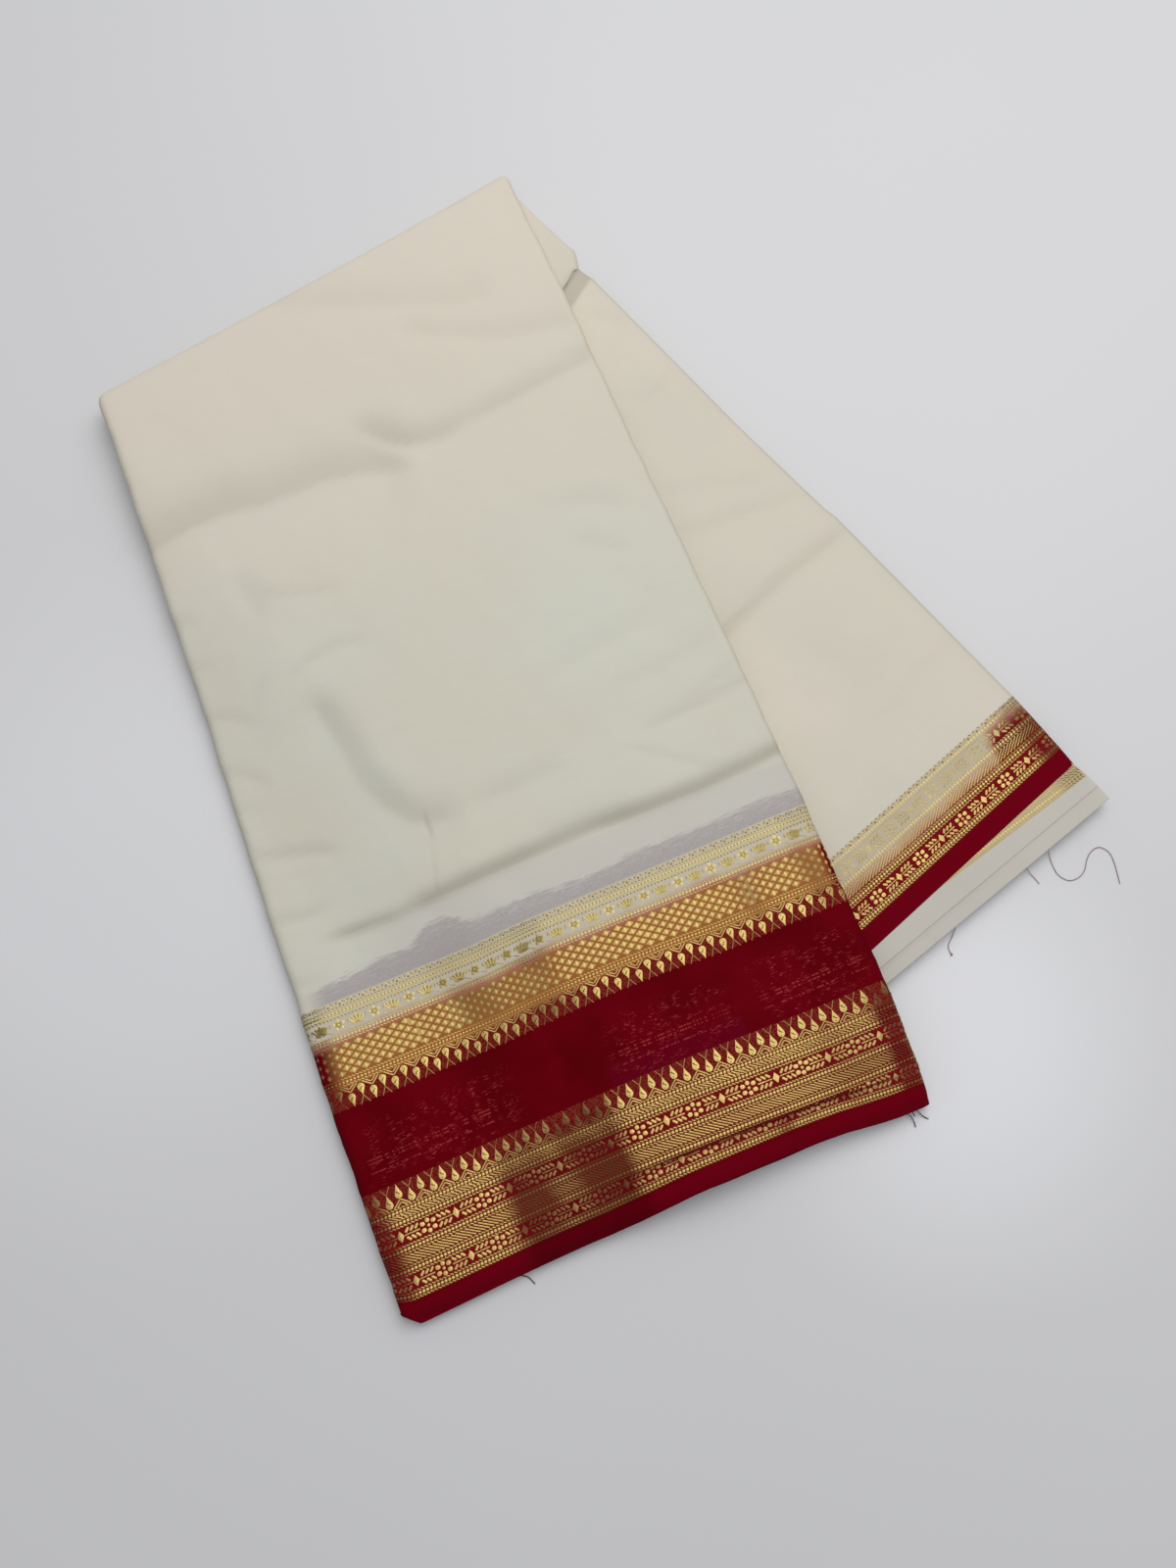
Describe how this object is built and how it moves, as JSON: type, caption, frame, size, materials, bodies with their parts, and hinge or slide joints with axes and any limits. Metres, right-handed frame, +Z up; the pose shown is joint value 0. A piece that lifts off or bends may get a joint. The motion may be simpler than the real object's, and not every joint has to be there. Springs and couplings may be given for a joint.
{
  "type": "folded saree",
  "caption": "Ivory saree wound into a flat strip and bent once into an inverted V that lies flat, with crimson and gold zari borders at both ends of the strip.",
  "frame": {"origin": "middle of the footprint, on the plane that the saree rests on", "axes": "+Z up; +Y along the front leg, from its wide border toward the fold; +X across the front leg, toward the fanned back leg"},
  "size_m": [0.4432, 0.599, 0.0213],
  "materials": {
    "saree_cloth": "smooth ivory crepe-like cloth with a soft sheen, its borders dyed crimson",
    "saree_layers": "the same cloth, as stacked layer edges",
    "zari": "gold metallic thread woven as borders, glinting"
  },
  "bodies": {
    "root": {"front_fall": "saree_cloth", "front_layers": "saree_layers", "turn_fall": "saree_cloth", "back_fall": "saree_cloth", "back_under_upper": "saree_cloth", "back_under_lower": "saree_cloth", "back_layers": "saree_layers"}
  },
  "joints": []
}
